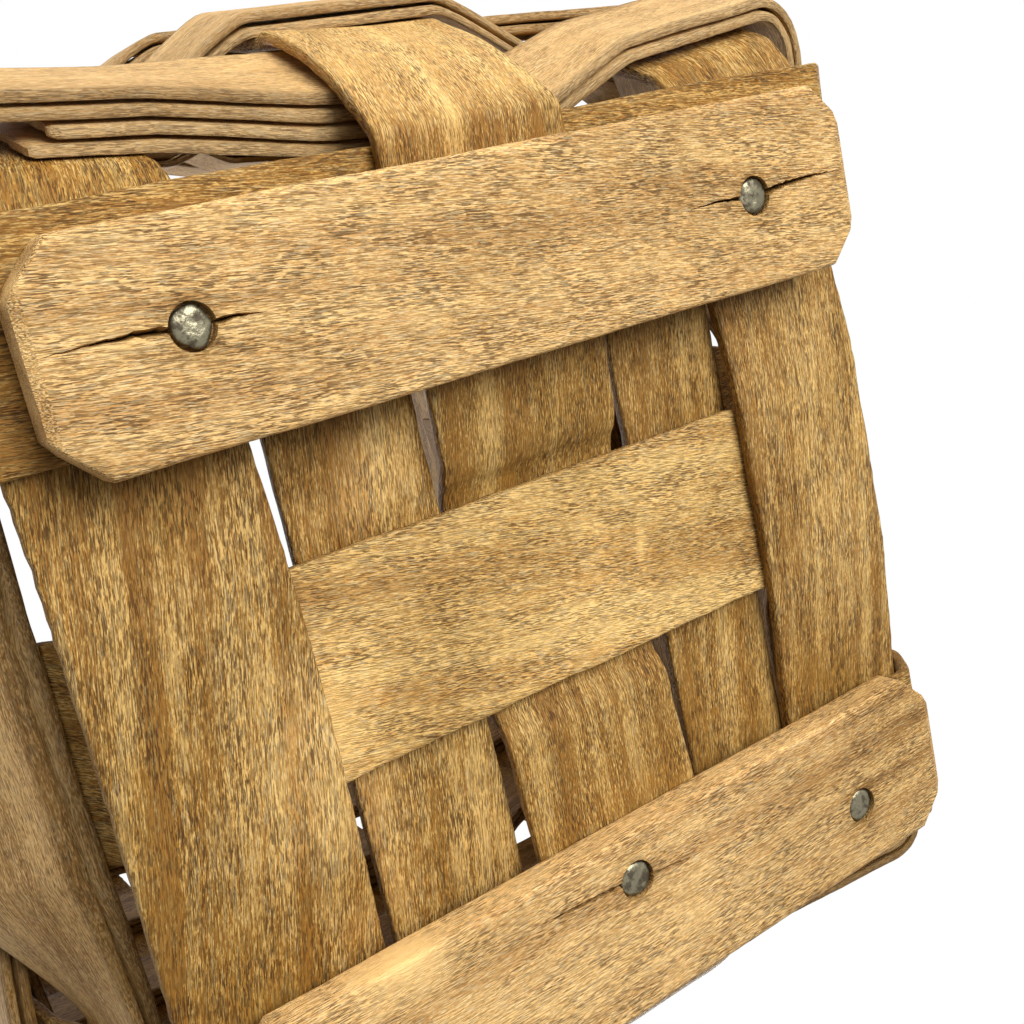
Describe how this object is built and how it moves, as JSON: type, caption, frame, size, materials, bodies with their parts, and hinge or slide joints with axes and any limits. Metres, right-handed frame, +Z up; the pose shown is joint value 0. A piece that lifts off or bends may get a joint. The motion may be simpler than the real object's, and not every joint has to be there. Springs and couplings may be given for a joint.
{
  "type": "storage basket",
  "caption": "Square open-topped basket woven from wide flat wooden splints, with a double rim band and two nailed wooden runners under the base.",
  "frame": {"origin": "middle of the footprint, on the surface the basket stands on", "axes": "+Z up, X along the runners, front wall at -Y"},
  "size_m": [0.2012, 0.2012, 0.2163],
  "materials": {
    "splint": "stained, worn satin",
    "weaver": "stained, worn satin",
    "band": "stained, worn satin",
    "runner": "stained, worn matt",
    "nail": "dull, worn"
  },
  "bodies": {
    "root": {"runner_front": "runner", "runner_back": "runner", "runner_front_nail_left": "nail", "runner_front_nail_right": "nail", "runner_back_nail_left": "nail", "runner_back_nail_middle": "nail", "runner_back_nail_right": "nail", "cross_stake_front": "splint", "cross_stake_middle": "splint", "cross_stake_back": "splint", "stake_left": "splint", "stake_middle": "splint", "stake_right": "splint", "filler_left": "splint", "filler_right": "splint", "weaver_01_outer": "weaver", "weaver_01_inner": "weaver", "weaver_02_outer": "weaver", "weaver_02_inner": "weaver", "weaver_03_outer": "weaver", "weaver_03_inner": "weaver", "weaver_04_outer": "weaver", "weaver_04_inner": "weaver", "weaver_05_outer": "weaver", "weaver_05_inner": "weaver", "weaver_06_outer": "weaver", "weaver_06_inner": "weaver", "weaver_07_outer": "weaver", "weaver_07_inner": "weaver", "weaver_08_outer": "weaver", "weaver_08_inner": "weaver", "weaver_09_outer": "weaver", "weaver_09_inner": "weaver", "weaver_10_outer": "weaver", "weaver_10_inner": "weaver", "rim_band_outer": "band", "rim_band_inner": "band", "rim_tack_01": "nail", "rim_tack_02": "nail", "rim_tack_03": "nail", "rim_tack_04": "nail", "rim_tack_05": "nail", "rim_tack_06": "nail", "rim_tack_07": "nail", "rim_tack_08": "nail", "rim_tack_09": "nail", "rim_tack_10": "nail", "rim_tack_11": "nail", "rim_tack_12": "nail"}
  },
  "joints": []
}
